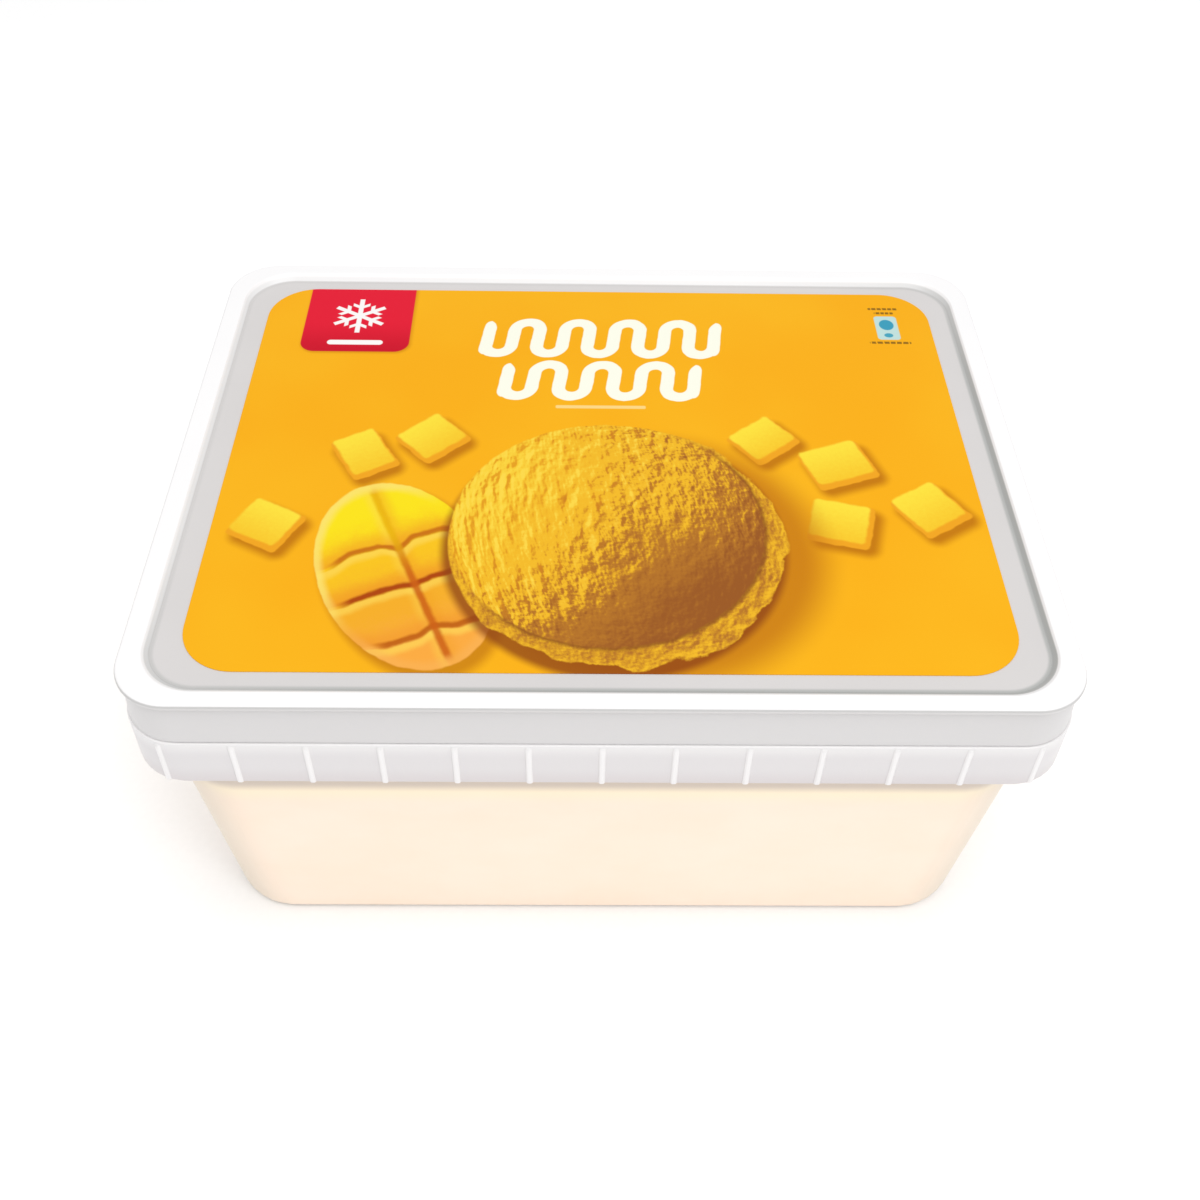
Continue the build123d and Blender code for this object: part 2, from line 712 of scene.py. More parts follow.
@dataclass(frozen=True)
class MangoHalf:
    """Half a mango, scored into cubes, cut side up.

    Attributes:
        spot: Its middle, turned so that its length runs across the turn.
        width: Its size along the turn.
        length: Its size across the turn.
        spine: How far the long cut is from the middle.
        cuts: The cuts across it.
        cut_width: Half the width of a cut.
    """

    spot: Spot = Spot(-39.2, -34.5, 23.0)
    width: float = 33.6
    length: float = 53.0
    spine: float = 0.9
    cuts: tuple[Cut, ...] = (
        Cut(6.4, 2.0, 14.5, 0.55),
        Cut(-4.1, 0.5, 15.5, 1.0),
        Cut(-15.9, -1.3, 12.5, 0.7),
    )
    cut_width: float = 0.75

    def _flesh(self, art: Artwork, along: Value) -> Shade:
        """Mixes the flesh's colour, from deep orange at the near end to yellow at the far one.

        Args:
            art: The picture.
            along: The place along the half.

        Returns:
            The colour.
        """
        paint = art.paint
        rise = along / self.length + 0.5 + art.fibre * 0.1 + art.wobble * 0.08
        return paint.layers(
            tint(252, 172, 66),
            (tint(247, 176, 42), rise.ramp(0.12, 0.35)),
            (tint(251, 198, 32), rise.ramp(0.36, 0.6)),
            (tint(253, 229, 28), rise.ramp(0.6, 0.84)),
        )

    def _cross(self, art: Artwork, flesh: Shade, cut: Cut, across: Value, along: Value) -> Shade:
        """Lays one cross cut: the shaded edge above it, the lit edge below it and the cut itself.

        Args:
            art: The picture.
            flesh: The colour so far.
            cut: The cut.
            across: The place across the half, from its spine.
            along: The place along it.

        Returns:
            The colour with the cut.
        """
        cell = abs(across).ramp(0.0, 4.0) * abs(across).ramp(15.0, 9.0)
        above = along - cut.along - cell * cut.bulge + art.wobble * 0.9
        ends = abs(across).ramp(cut.reach + 1.0, cut.reach - 3.0)
        shaded = above.ramp(5.5, 0.4) * above.ramp(-0.3, 0.2)
        lit = above.ramp(-0.5, -1.1) * above.ramp(-3.4, -1.6)
        line = abs(above).ramp(self.cut_width * 1.6, self.cut_width * 0.35)
        dark = art.paint.over(tint(222, 132, 24), tint(176, 72, 14), cut.depth)
        return art.paint.layers(
            flesh,
            (tint(240, 148, 34), shaded * (0.3 + 0.35 * cut.depth)),
            (tint(255, 220, 92), lit * 0.6),
            (dark, line * ends * (0.75 + 0.25 * cut.depth)),
        )

    def lay(self, art: Artwork) -> None:
        """Lays the shadow, the flesh with its glow, the cuts and the rim.

        Args:
            art: The picture.
        """
        paint = art.paint
        shadow = art.disc(self.spot.moved(1.5, -2.0), self.width + 1, self.length + 1)
        art.cover(tint(190, 112, 14), shadow.ramp(1.07, 0.93) * 0.7)
        reach = art.disc(self.spot, self.width, self.length) + art.wobble * 0.03
        across, along = self.spot.local(art.x, art.y)
        across = across - self.spine + art.wobble * 0.6
        shaded_bank = across.ramp(3.8, 0.3) * across.ramp(-0.4, 0.2)
        lit_bank = across.ramp(-3.0, -1.0) * across.ramp(-0.2, -0.8)
        flesh = paint.layers(
            self._flesh(art, along),
            (tint(243, 160, 34), shaded_bank * 0.5),
            (tint(254, 214, 80), lit_bank * 0.35),
        )
        for cut in self.cuts:
            flesh = self._cross(art, flesh, cut, across, along)
        groove = abs(across).ramp(self.cut_width * 1.7, self.cut_width * 0.3)
        groove_colour = paint.over(tint(205, 98, 20), tint(236, 182, 12), along.ramp(-2.0, 12.0))
        rim = reach.ramp(0.87, 0.97)
        flesh = paint.layers(
            flesh,
            (groove_colour, groove * reach.ramp(0.98, 0.88) * 0.9),
            (tint(253, 228, 116), rim * (across * -1.0 + along).ramp(2.0, 20.0) * 0.8),
            (tint(250, 182, 92), rim * along.ramp(-6.0, -18.0) * 0.5),
        )
        art.cover(flesh, reach.ramp(1.008, 0.985))


@dataclass(frozen=True)
class ScoopedFace:
    """What the scoop's light and edges follow at each place of the picture.

    Attributes:
        right: How far right of the ball's middle it is, in radii.
        up: How far above it, in radii.
        reach: How far from it, in radii.
        away: How far on the side that is turned from the light.
        torn: The slope of the long torn flakes, towards the light.
        rugged: The slope of the crumbs.
        crumbs: The height of the crumbs.
        grain: The finest grain.
        ragged: The unevenness of torn edges.
        lobes: Broad swellings.
    """

    right: Value
    up: Value
    reach: Value
    away: Value
    torn: Value
    rugged: Value
    crumbs: Value
    grain: Value
    ragged: Value
    lobes: Value


@dataclass(frozen=True)
class Scoop:
    """A ball of ice cream on its ragged skirt, lit from the upper left.

    Attributes:
        ball: The ball's middle.
        radius: The ball's radius.
        skirt: The skirt's middle.
        skirt_length: The skirt's size along X.
        skirt_width: The skirt's size along Y.
        sun: The direction that its light comes from.
        step: The distance over which the relief's slope is taken.
        bulge: How much the relief tightens towards the ball's edge.
        swirl: How far the flakes lean, for each unit up.
        flake: The size of a torn flake, across and up.
        crumb: The size of a crumb, across and up.
        ball_soft: How far the edge of the ball's shadow is spread.
        skirt_soft: How far that of the skirt's shadow is.
    """

    ball: Spot = Spot(1.2, -22.0)
    radius: float = 32.2
    skirt: Spot = Spot(3.0, -24.8)
    skirt_length: float = 68.4
    skirt_width: float = 68.6
    sun: tuple[float, float, float] = (-0.79, 0.47, 0.26)
    step: float = 0.4
    bulge: float = 0.35
    swirl: float = 0.2
    flake: tuple[float, float] = (4.4, 12.0)
    crumb: tuple[float, float] = (3.2, 4.8)
    ball_soft: float = 0.36
    skirt_soft: float = 0.45

    def _relief(self, paint: Paint, x: Value, y: Value) -> tuple[Value, Value]:
        """Works out the height of the scooped surface.

        Args:
            paint: The material's paint.
            x: The place along X, from the ball's middle.
            y: The place along Y, from the ball's middle.

        Returns:
            The height of the long torn flakes, and that of the crumbs.
        """
        tighter = 1 + (x * x + y * y) / (self.radius * self.radius) * self.bulge
        across, up = x * tighter, y * tighter
        leaning = across + up * self.swirl
        flakes = paint.noise(leaning / self.flake[0], up / self.flake[1], 2.0, 2.6, 0.52)
        crumbs = paint.noise(across / self.crumb[0], up / self.crumb[1], 5.0, 5.0, 0.6)
        return flakes, crumbs

    def _shade(self, paint: Paint, light: Value, soft: float) -> Shade:
        """Mixes the ice cream's colour under a share of the light.

        Args:
            paint: The material's paint.
            light: The light, 0 at the edge of the shadow and 1 where it is full.
            soft: How far the shadow's edge is spread.

        Returns:
            The colour.
        """
        return paint.layers(
            tint(156, 91, 38),
            (tint(186, 120, 42), light.ramp(-0.6, -0.05)),
            (tint(220, 158, 38), light.ramp(-0.12, soft * 0.5)),
            (tint(245, 188, 42), light.ramp(soft * 0.25, soft)),
            (tint(252, 214, 64), light.ramp(soft + 0.1, 1.05)),
        )

    def _face(self, art: Artwork) -> ScoopedFace:
        """Works out what the scoop's light and edges follow.

        Args:
            art: The picture.

        Returns:
            The face's values.
        """
        paint = art.paint
        x, y = art.x - self.ball.x, art.y - self.ball.y
        right, up = x / self.radius, y / self.radius
        flakes, crumbs = self._relief(paint, x, y)
        lit_flakes, lit_crumbs = self._relief(paint, x - self.step, y + self.step)
        return ScoopedFace(
            right=right,
            up=up,
            reach=(right * right + up * up).root(),
            away=right * 0.72 - up * 0.69,
            torn=flakes - lit_flakes,
            rugged=crumbs - lit_crumbs,
            crumbs=crumbs,
            grain=paint.noise(art.x / 0.6, art.y / 0.6, 33.0, 2.0, 0.7),
            ragged=paint.noise(art.x / 4.2, art.y / 4.2, 21.0, 4.0, 0.62),
            lobes=paint.noise(art.x / 9.0, art.y / 9.0, 27.0, 1.0),
        )

    def _lay_shadows(self, art: Artwork) -> None:
        """Lays the long cast shadow and the close one under the skirt.

        Args:
            art: The picture.
        """
        length, width = self.skirt_length, self.skirt_width
        cast = art.disc(self.skirt.moved(8.0, -4.5), length, width)
        art.cover(tint(196, 116, 18), cast.ramp(1.14, 0.84) * 0.8)
        close = art.disc(self.skirt.moved(-0.5, -2.2), length * 1.02, width * 1.02)
        art.cover(tint(146, 68, 20), close.ramp(1.035, 0.965) * 0.85)

    def _lay_skirt(self, art: Artwork, face: ScoopedFace) -> None:
        """Lays the skirt, most ragged on the side turned from the light.

        Args:
            art: The picture.
            face: What the scoop's light and edges follow.
        """
        uneven = face.ragged * 0.07 + face.lobes * 0.16
        disc = art.disc(self.skirt, self.skirt_length, self.skirt_width)
        hem = disc + uneven * face.away.ramp(-0.5, 0.3)
        light = face.rugged * 1.4 + face.ragged * 0.9 + face.grain * 0.4
        light = light + hem.ramp(0.94, 1.0) * 0.16 + 0.14
        art.cover(self._shade(art.paint, light, self.skirt_soft), hem.ramp(1.006, 0.99))

    def _lay_ball(self, art: Artwork, face: ScoopedFace) -> None:
        """Lays the groove under the ball and the ball with its hollows and crests.

        Args:
            art: The picture.
            face: What the scoop's light and edges follow.
        """
        right, up, lobes = face.right, face.up, face.lobes
        facing = (1 - face.reach * face.reach).root()
        sunlit = right * self.sun[0] + up * self.sun[1] + facing * self.sun[2]
        sunlit = sunlit - up.ramp(0.45, 0.95) * 0.1 + lobes * 0.25 - 0.03
        lit = sunlit.ramp(-0.3, 0.15)
        shoulder = up.ramp(-0.45, 0.25) * right.ramp(0.05, 0.5)
        rough = (lit * (1.0 - sunlit.ramp(0.15, 0.6) * 0.7)).most(shoulder * 0.85)
        light = sunlit + face.torn * (lit * 3.6 + 0.8) + face.rugged * (rough * 2.3 + 0.9)
        light = light + face.grain * (0.19 + rough * 0.06)
        rim_glow = face.reach.ramp(0.75, 1.0) * face.away.ramp(0.3, 0.9)
        light = light + right.ramp(0.2, 0.85) * 0.14 + rim_glow * 0.12
        light = light + shoulder * 0.2
        slope = face.torn * 1.5 + face.rugged * 0.4
        in_light = sunlit.ramp(0.0, 0.3)
        ball = art.paint.layers(
            self._shade(art.paint, light, self.ball_soft),
            (tint(222, 142, 28), slope.ramp(-0.03, -0.13) * in_light * 0.6),
            (tint(255, 222, 84), slope.ramp(0.03, 0.13) * in_light * 0.55),
        )
        edge = face.reach + face.ragged * 0.03 + face.crumbs * 0.012
        groove = edge.ramp(1.035, 1.0) * face.away.ramp(-0.25, 0.25)
        art.cover(tint(140, 78, 32), groove * 0.8)
        art.cover(ball, edge.ramp(1.002, 0.985))

    def lay(self, art: Artwork) -> None:
        """Lays the shadows, the skirt and the ball.

        Args:
            art: The picture.
        """
        face = self._face(art)
        self._lay_shadows(art)
        self._lay_skirt(art, face)
        self._lay_ball(art, face)


@dataclass(frozen=True)
class Badge:
    """A plain red tab at the label's far edge, with a snow crystal and a short bar.

    Attributes:
        spot: The tab's middle.
        length: Its size along X.
        width: Its size along Y, which runs past the label's edge.
        corner: The radius of its corners.
        arm: The length of each of the crystal's arms.
        stroke: Half the width of the crystal's strokes.
        twig_lean: The cosine and the sine of the twigs' turn from the arms.
    """

    spot: Spot = Spot(-57.6, 50.0)
    length: float = 25.4
    width: float = 29.0
    corner: float = 3.5
    arm: float = 6.6
    stroke: float = 0.55
    twig_lean: tuple[float, float] = (0.866, 0.5)

    def lay(self, art: Artwork) -> None:
        """Lays the tab, the crystal and the bar.

        Args:
            art: The picture.
        """
        tab = art.block(self.spot, self.length, self.width, self.corner)
        shadow = art.block(self.spot.moved(0.3, -0.4), self.length, self.width, self.corner)
        art.cover(tint(196, 120, 10), shadow.ramp(0.9, -0.5) * 0.5)
        red = art.paint.over(tint(206, 20, 44), tint(232, 31, 56), art.y.ramp(34.0, 48.0))
        art.cover(red, tab.ramp(0.12, -0.12))
        white = tint(255, 252, 250)
        crystal = self.spot.moved(0.0, -0.6)
        lean_up, lean_out = self.twig_lean
        for turn in (30.0, 90.0, 150.0):
            along, across = Spot(crystal.x, crystal.y, turn).local(art.x, art.y)
            along, across = abs(along), abs(across)
            stem = (across - self.stroke).most(along - self.arm)
            twig = abs((along - self.arm * 0.5) * lean_up - across * lean_out) - self.stroke * 0.8
            twig = twig.most(across - self.arm * 0.3)
            art.cover(white, stem.least(twig).ramp(0.14, -0.1))
        bar = art.block(self.spot.moved(0.0, -11.0), 13.0, 1.7, 0.84)
        art.cover(white, bar.ramp(0.14, -0.1))


@dataclass(frozen=True)
class WaveBand:
    """A bold winding line, of one width throughout, in place of a line of a title.

    Attributes:
        spot: The line's middle.
        length: How far it runs.
        height: How far it swings, from crest to trough.
        bays: How many bends it makes.
        stroke: Half the width of the line.
        lean: How far it leans over, for each unit of height.
        margin: How far its ends stay inside the first and the last bend.
    """

    spot: Spot
    length: float
    height: float
    bays: int
    stroke: float
    lean: float = -0.12
    margin: float = 0.01

    def lay(self, art: Artwork) -> None:
        """Lays upright strokes joined by round bends, in turn above and below.

        Args:
            art: The picture.
        """
        paint = art.paint
        right, up = self.spot.local(art.x, art.y)
        up = up + art.wobble * 0.5
        right = right + up * self.lean + art.wobble * 0.4 + self.length / 2
        pitch = (self.length - 2 * self.stroke) / self.bays
        straight = self.height / 2 - self.stroke - pitch / 2
        first, last = self.stroke + self.margin, self.length - self.stroke - self.margin
        held = right.most(first).least(last)
        beat = (held - self.stroke).wrap(-pitch, pitch)
        toward_bend = up * paint.math("SIGN", beat) * -1.0
        off = abs(beat) - pitch / 2
        past = (abs(toward_bend) - straight).most(0.0)
        near = off * off + past * past
        far_off = pitch - abs(off)
        far = far_off * far_off + past * past
        on_bend = paint.math("GREATER_THAN", toward_bend, 0.0)
        from_middle = (far + (near - far) * on_bend).root()
        beyond = right - held
        away = abs(from_middle - pitch / 2)
        line = (away * away + beyond * beyond).root() - self.stroke
        art.cover(tint(255, 255, 238), line.ramp(0.14, -0.12))


@dataclass(frozen=True)
class SmallMarks:
    """The small marks in the label's far right corner: broken lines round a pale plaque.

    Attributes:
        spot: The plaque's middle.
        line_width: The width of the broken lines.
    """

    spot: Spot = Spot(69.0, 46.6)
    line_width: float = 0.75

    def _dashes(self, art: Artwork, up: float, length: float, dash: float) -> None:
        """Lays one broken line.

        Args:
            art: The picture.
            up: How far above the plaque's middle it is.
            length: The line's length.
            dash: The length of one dash and its gap.
        """
        line = art.block(self.spot.moved(0.0, up), length, self.line_width, self.line_width * 0.4)
        beat = (art.x / dash + art.wobble * 0.6).wrap(0.0, 1.0)
        art.cover(tint(120, 88, 30), line.ramp(0.18, -0.1) * beat.ramp(0.86, 0.7) * 0.85)

    def lay(self, art: Artwork) -> None:
        """Lays the plaque, its drop and the broken lines.

        Args:
            art: The picture.
        """
        plaque = art.block(self.spot, 5.4, 9.2, 0.9)
        art.cover(tint(196, 226, 222), plaque.ramp(0.15, -0.15))
        drop = art.disc(self.spot.moved(0.0, 1.2), 3.6, 4.2)
        art.cover(tint(64, 160, 190), drop.ramp(1.05, 0.9))
        ring = art.disc(self.spot.moved(0.0, -2.9), 2.2, 1.7)
        art.cover(tint(74, 166, 192), ring.ramp(1.1, 0.85))
        self._dashes(art, 7.6, 7.2, 1.3)
        self._dashes(art, 5.9, 4.6, 1.1)
        self._dashes(art, -5.8, 9.8, 1.5)


# --- Finishes ---

# The height of one unit of relief on plastic and paper, and the plastic's index of refraction
FINE_RELIEF = 0.02 * MM
MOULDED_IOR = 1.49


@dataclass(frozen=True)
class LidPlastic:
    """White moulded plastic with a duller, greyer panel.

    Attributes:
        rim_top: The height of the rim's top, in millimetres.
        panel: The panel's outline, in metres.
        white: The colour of the rim and skirt.
        flow_white: The same where the plastic flowed last.
        shaded: The painted shade on the skirt under the lip, darker than the lit rim.
        lip_edge_shade: The painted shade along the lip's rounded outer edge.
        grey: The colour of the sunk panel.
        flow_grey: The same where the plastic flowed last.
        groove: The painted shade in the groove round the panel's foot.
    """

    rim_top: float
    panel: Outline
    white: Colour = tint(235, 234, 234)
    flow_white: Colour = tint(231, 230, 231)
    shaded: Colour = tint(213, 211, 211)
    lip_edge_shade: Colour = tint(194, 193, 192)
    grey: Colour = tint(198, 195, 194)
    flow_grey: Colour = tint(202, 199, 198)
    groove: Colour = tint(168, 169, 167)

    def material(self) -> bpy.types.Material:
        """Makes the material: faint flow marks, a fine grain, a duller panel and painted shade.

        Returns:
            The material.
        """
        paint = Paint("lid white plastic")
        x, y, z = paint.place()
        flow = paint.noise(x / 26, y / 26, z / 40, 3.0)
        grain = paint.noise(x / 0.35, y / 0.35, z / 0.35, 2.0, 0.6)
        scuff = paint.noise(x / 3.0, y / 1.1, z / 3.0, 4.0, 0.65)
        sizes = (self.panel.length, self.panel.width, self.panel.corner)
        length, width, corner = (size / MM for size in sizes)
        margin = paint.outside(x, y, length, width, corner)
        beyond_rim = margin.ramp(3.0, 3.5)
        top = self.rim_top
        sunk = z.ramp(top - 0.3, top - 0.6)
        panel = sunk * margin.ramp(0.3, 0.0)
        # Painted shade: a dark band round the lip's rounded outer edge, where it turns from the light.
        edge = z.ramp(top - 0.08, top - 0.28) * z.ramp(top - 0.75, top - 0.45)
        # Painted shade in the groove round the panel's foot, strongest on the near and right sides,
        # which face away from the light.
        painted_shade_side = (x / (length / 2) - y / (width / 2)).ramp(-0.7, 0.8) * 0.8 + 0.2
        groove = margin.ramp(-1.0, -0.25) * margin.ramp(1.4, 0.7) * sunk
        grey = paint.over(self.grey, self.flow_grey, flow.ramp(-0.2, 0.3) * 0.7)
        colour = paint.layers(
            self.white,
            (self.flow_white, flow.ramp(-0.2, 0.3) * 0.6),
            # Painted shade: the skirt under the lip is darker than the rim's top, as if less lit.
            (self.shaded, z.ramp(top - 0.3, top - 0.45) * beyond_rim),
            (self.lip_edge_shade, edge * beyond_rim),
            (grey, panel),
            (self.groove, groove * painted_shade_side),
        )
        roughness = 0.34 + flow * 0.08 + scuff * 0.07 + panel * 0.14
        relief = grain * (0.35 + panel * 0.65) + flow * 3.0
        paint.dress(colour, roughness, relief, FINE_RELIEF, IOR=MOULDED_IOR)
        return paint.material


@dataclass(frozen=True)
class TubPlastic:
    """Thin natural plastic: ice cream shows through the body, and the empty collar is white.

    Attributes:
        collar_foot: The height of the collar's lower edge, in millimetres.
        collar_top: The height of the ledge that the collar hangs from, in millimetres.
        half_length: Half the body's length, in millimetres.
        half_width: Half the body's width, in millimetres.
        draft: The lean of the body's walls, in radians.
        near_corner: How far from a wall's end the painted corner shade starts, and how far it is
            full, in millimetres.
        cream: The colour of the body.
        cloud: The same where the ice cream lies thinner.
        pocket: The colour over small pockets of air.
        upper_cream: The colour of the body's upper part.
        painted_corner_shade: The painted shade on the body's corners, where the walls turn from the
            light.
        painted_foot_shadow: The painted contact shadow along the body's lower edge, by the floor.
        collar_shadow: The shade under the collar.
        low_white: The colour of the collar's lower edge.
        white: The colour of the collar.
        high_white: The colour of the collar's top.
        rib: The colour of the ribs.
    """

    collar_foot: float
    collar_top: float
    half_length: float
    half_width: float
    draft: float
    near_corner: tuple[float, float] = (17.0, 2.5)
    cream: Colour = tint(255, 235, 216)
    cloud: Colour = tint(254, 232, 211)
    pocket: Colour = tint(255, 238, 221)
    upper_cream: Colour = tint(255, 239, 208)
    painted_corner_shade: Colour = tint(228, 213, 192)
    painted_foot_shadow: Colour = tint(205, 197, 188)
    collar_shadow: Colour = tint(198, 184, 174)
    low_white: Colour = tint(214, 208, 209)
    white: Colour = tint(221, 218, 219)
    high_white: Colour = tint(232, 230, 230)
    rib: Colour = tint(243, 241, 241)

    def _near(self, place: Value, taper: Value, half: float) -> Value:
        """Returns how near each place is to the end of a wall: 1 at the end."""
        start, end = self.near_corner
        return (abs(place) + taper).ramp(half - start, half - end)

    def material(self) -> bpy.types.Material:
        """Makes the material: cream with soft mottling and painted shade below, white with paler ribs
        above.

        Returns:
            The material.
        """
        paint = Paint("tub natural plastic")
        x, y, z = paint.place()
        cloud = paint.noise(x / 19, y / 19, z / 13, 4.0, 0.55)
        pockets = paint.noise(x / 7, y / 7, z / 5, 3.0, 0.6)
        grain = paint.noise(x / 0.4, y / 0.4, z / 0.4, 2.0, 0.6)
        drag = paint.noise(x / 2.2, y / 2.2, z / 30, 3.0)
        foot, top = self.collar_foot, self.collar_top
        taper = (foot - z) * math.tan(self.draft)
        # Painted shade on the body's corners, where the walls turn from the light.
        corner = self._near(x, taper, self.half_length) * self._near(y, taper, self.half_width)
        body = paint.layers(
            self.cream,
            (self.cloud, cloud.ramp(-0.22, 0.28)),
            (self.pocket, pockets.ramp(0.12, 0.3) * 0.25),
            (self.upper_cream, z.ramp(foot - 14, foot - 8) * 0.8),
            (self.painted_corner_shade, corner * 0.85),
            # Painted contact shadow along the body's lower edge, where it meets the floor.
            (self.painted_foot_shadow, z.ramp(1.6, 0.2) * 0.7),
            (self.collar_shadow, z.ramp(foot - 8.8, foot - 5.4) * 0.8),
        )
        collar = paint.layers(
            self.low_white,
            (self.white, z.ramp(foot, foot + 5)),
            (self.high_white, z.ramp(top - 4, top)),
            (self.rib, paint.attribute("crest").ramp(0.05, 0.45) * 0.85),
        )
        colour = paint.over(body, collar, z.ramp(foot - 0.7, foot - 0.35))
        roughness = 0.33 + drag * 0.08 + cloud * 0.05
        relief = grain * 0.5 + drag * 1.2 + cloud * 4.0
        paint.dress(colour, roughness, relief, FINE_RELIEF, IOR=MOULDED_IOR)
        return paint.material


@dataclass(frozen=True)
class LabelFilm:
    """The printed film, with its picture laid down shape by shape.

    Attributes:
        middle: The place of the label's middle along Y, in millimetres.
        ink: How much light the ink takes from every colour.
        relief: The height of one unit of its relief.
        ior: Its index of refraction.
        gloss: How much of the varnish's mirror gloss is left.
    """

    middle: float
    ink: float = 0.2
    relief: float = 0.012 * MM
    ior: float = 1.47
    gloss: float = 0.05

    def _pieces(self) -> list:
        """Lists the picture's shapes.

        Returns:
            The shapes, in the order that they are laid.
        """
        cubes = [
            FruitCube(Spot(-68.4, -22.0, -28), 12.4, 11.6),
            FruitCube(Spot(-50.8, -0.3, 30), 10.6, 13.6),
            FruitCube(Spot(-36.5, 5.0, 43), 12.4, 11.8),
            FruitCube(Spot(35.6, 5.2, 39), 12.6, 11.0),
            FruitCube(Spot(51.0, -2.6, 20), 14.4, 12.2),
            FruitCube(Spot(49.4, -20.6, -14), 12.8, 12.4),
            FruitCube(Spot(68.6, -16.2, 33), 12.4, 12.6),
        ]
        title = [
            WaveBand(Spot(0.3, 41.4), 56.5, 15.0, 9, 1.5),
            WaveBand(Spot(0.0, 25.6), 46.0, 14.4, 7, 1.5),
        ]
        return [*cubes, MangoHalf(), Scoop(), *title, Badge(), SmallMarks()]

    def material(self) -> bpy.types.Material:
        """Makes the material: a mango-yellow field and the shapes on it, under a satin varnish.

        Returns:
            The material.
        """
        paint = Paint("label printed film")
        x, y_whole, _ = paint.place()
        y = y_whole - self.middle
        tone = paint.noise(x / 45, y / 45, 1.0, 2.0)
        field_colour = paint.over(tint(252, 178, 24), tint(253, 186, 30), tone.ramp(-0.2, 0.25))
        art = Artwork(paint, x, y, field_colour)
        for shape in self._pieces():
            shape.lay(art)
        rule = art.block(Spot(0.0, 16.2), 20.0, 0.9, 0.3)
        art.cover(tint(255, 226, 150), rule.ramp(0.25, -0.1) * 0.8)
        grain = paint.noise(x / 0.3, y / 0.3, 7.0, 1.0)
        sag = paint.noise(x / 16, y / 16, 4.0, 1.0)
        roughness = 0.36 + tone * 0.06 + grain * 0.04
        inked = paint.over(art.colour, tint(0, 0, 0), self.ink)
        relief = grain * 0.3 + sag * 4.0
        paint.dress(inked, roughness, relief, self.relief, IOR=self.ior, Specular_IOR_Level=self.gloss)
        return paint.material


@dataclass(frozen=True)
class FloorPaper:
    """Plain pale studio paper.

    Attributes:
        colour: Its colour.
        tooth: Its colour on the tooth's high spots.
    """

    colour: Colour = tint(250, 250, 250)
    tooth: Colour = tint(252, 252, 252)

    def material(self) -> bpy.types.Material:
        """Makes the material: near white, matt, with the faintest tooth.

        Returns:
            The material.
        """
        paint = Paint("studio floor paper")
        x, y, z = paint.place()
        tooth = paint.noise(x / 1.5, y / 1.5, z, 2.0)
        colour = paint.over(self.colour, self.tooth, tooth.ramp(-0.3, 0.3))
        paint.dress(colour, 0.85 + tooth * 0.05, tooth, FINE_RELIEF)
        return paint.material


# --- Pieces ---


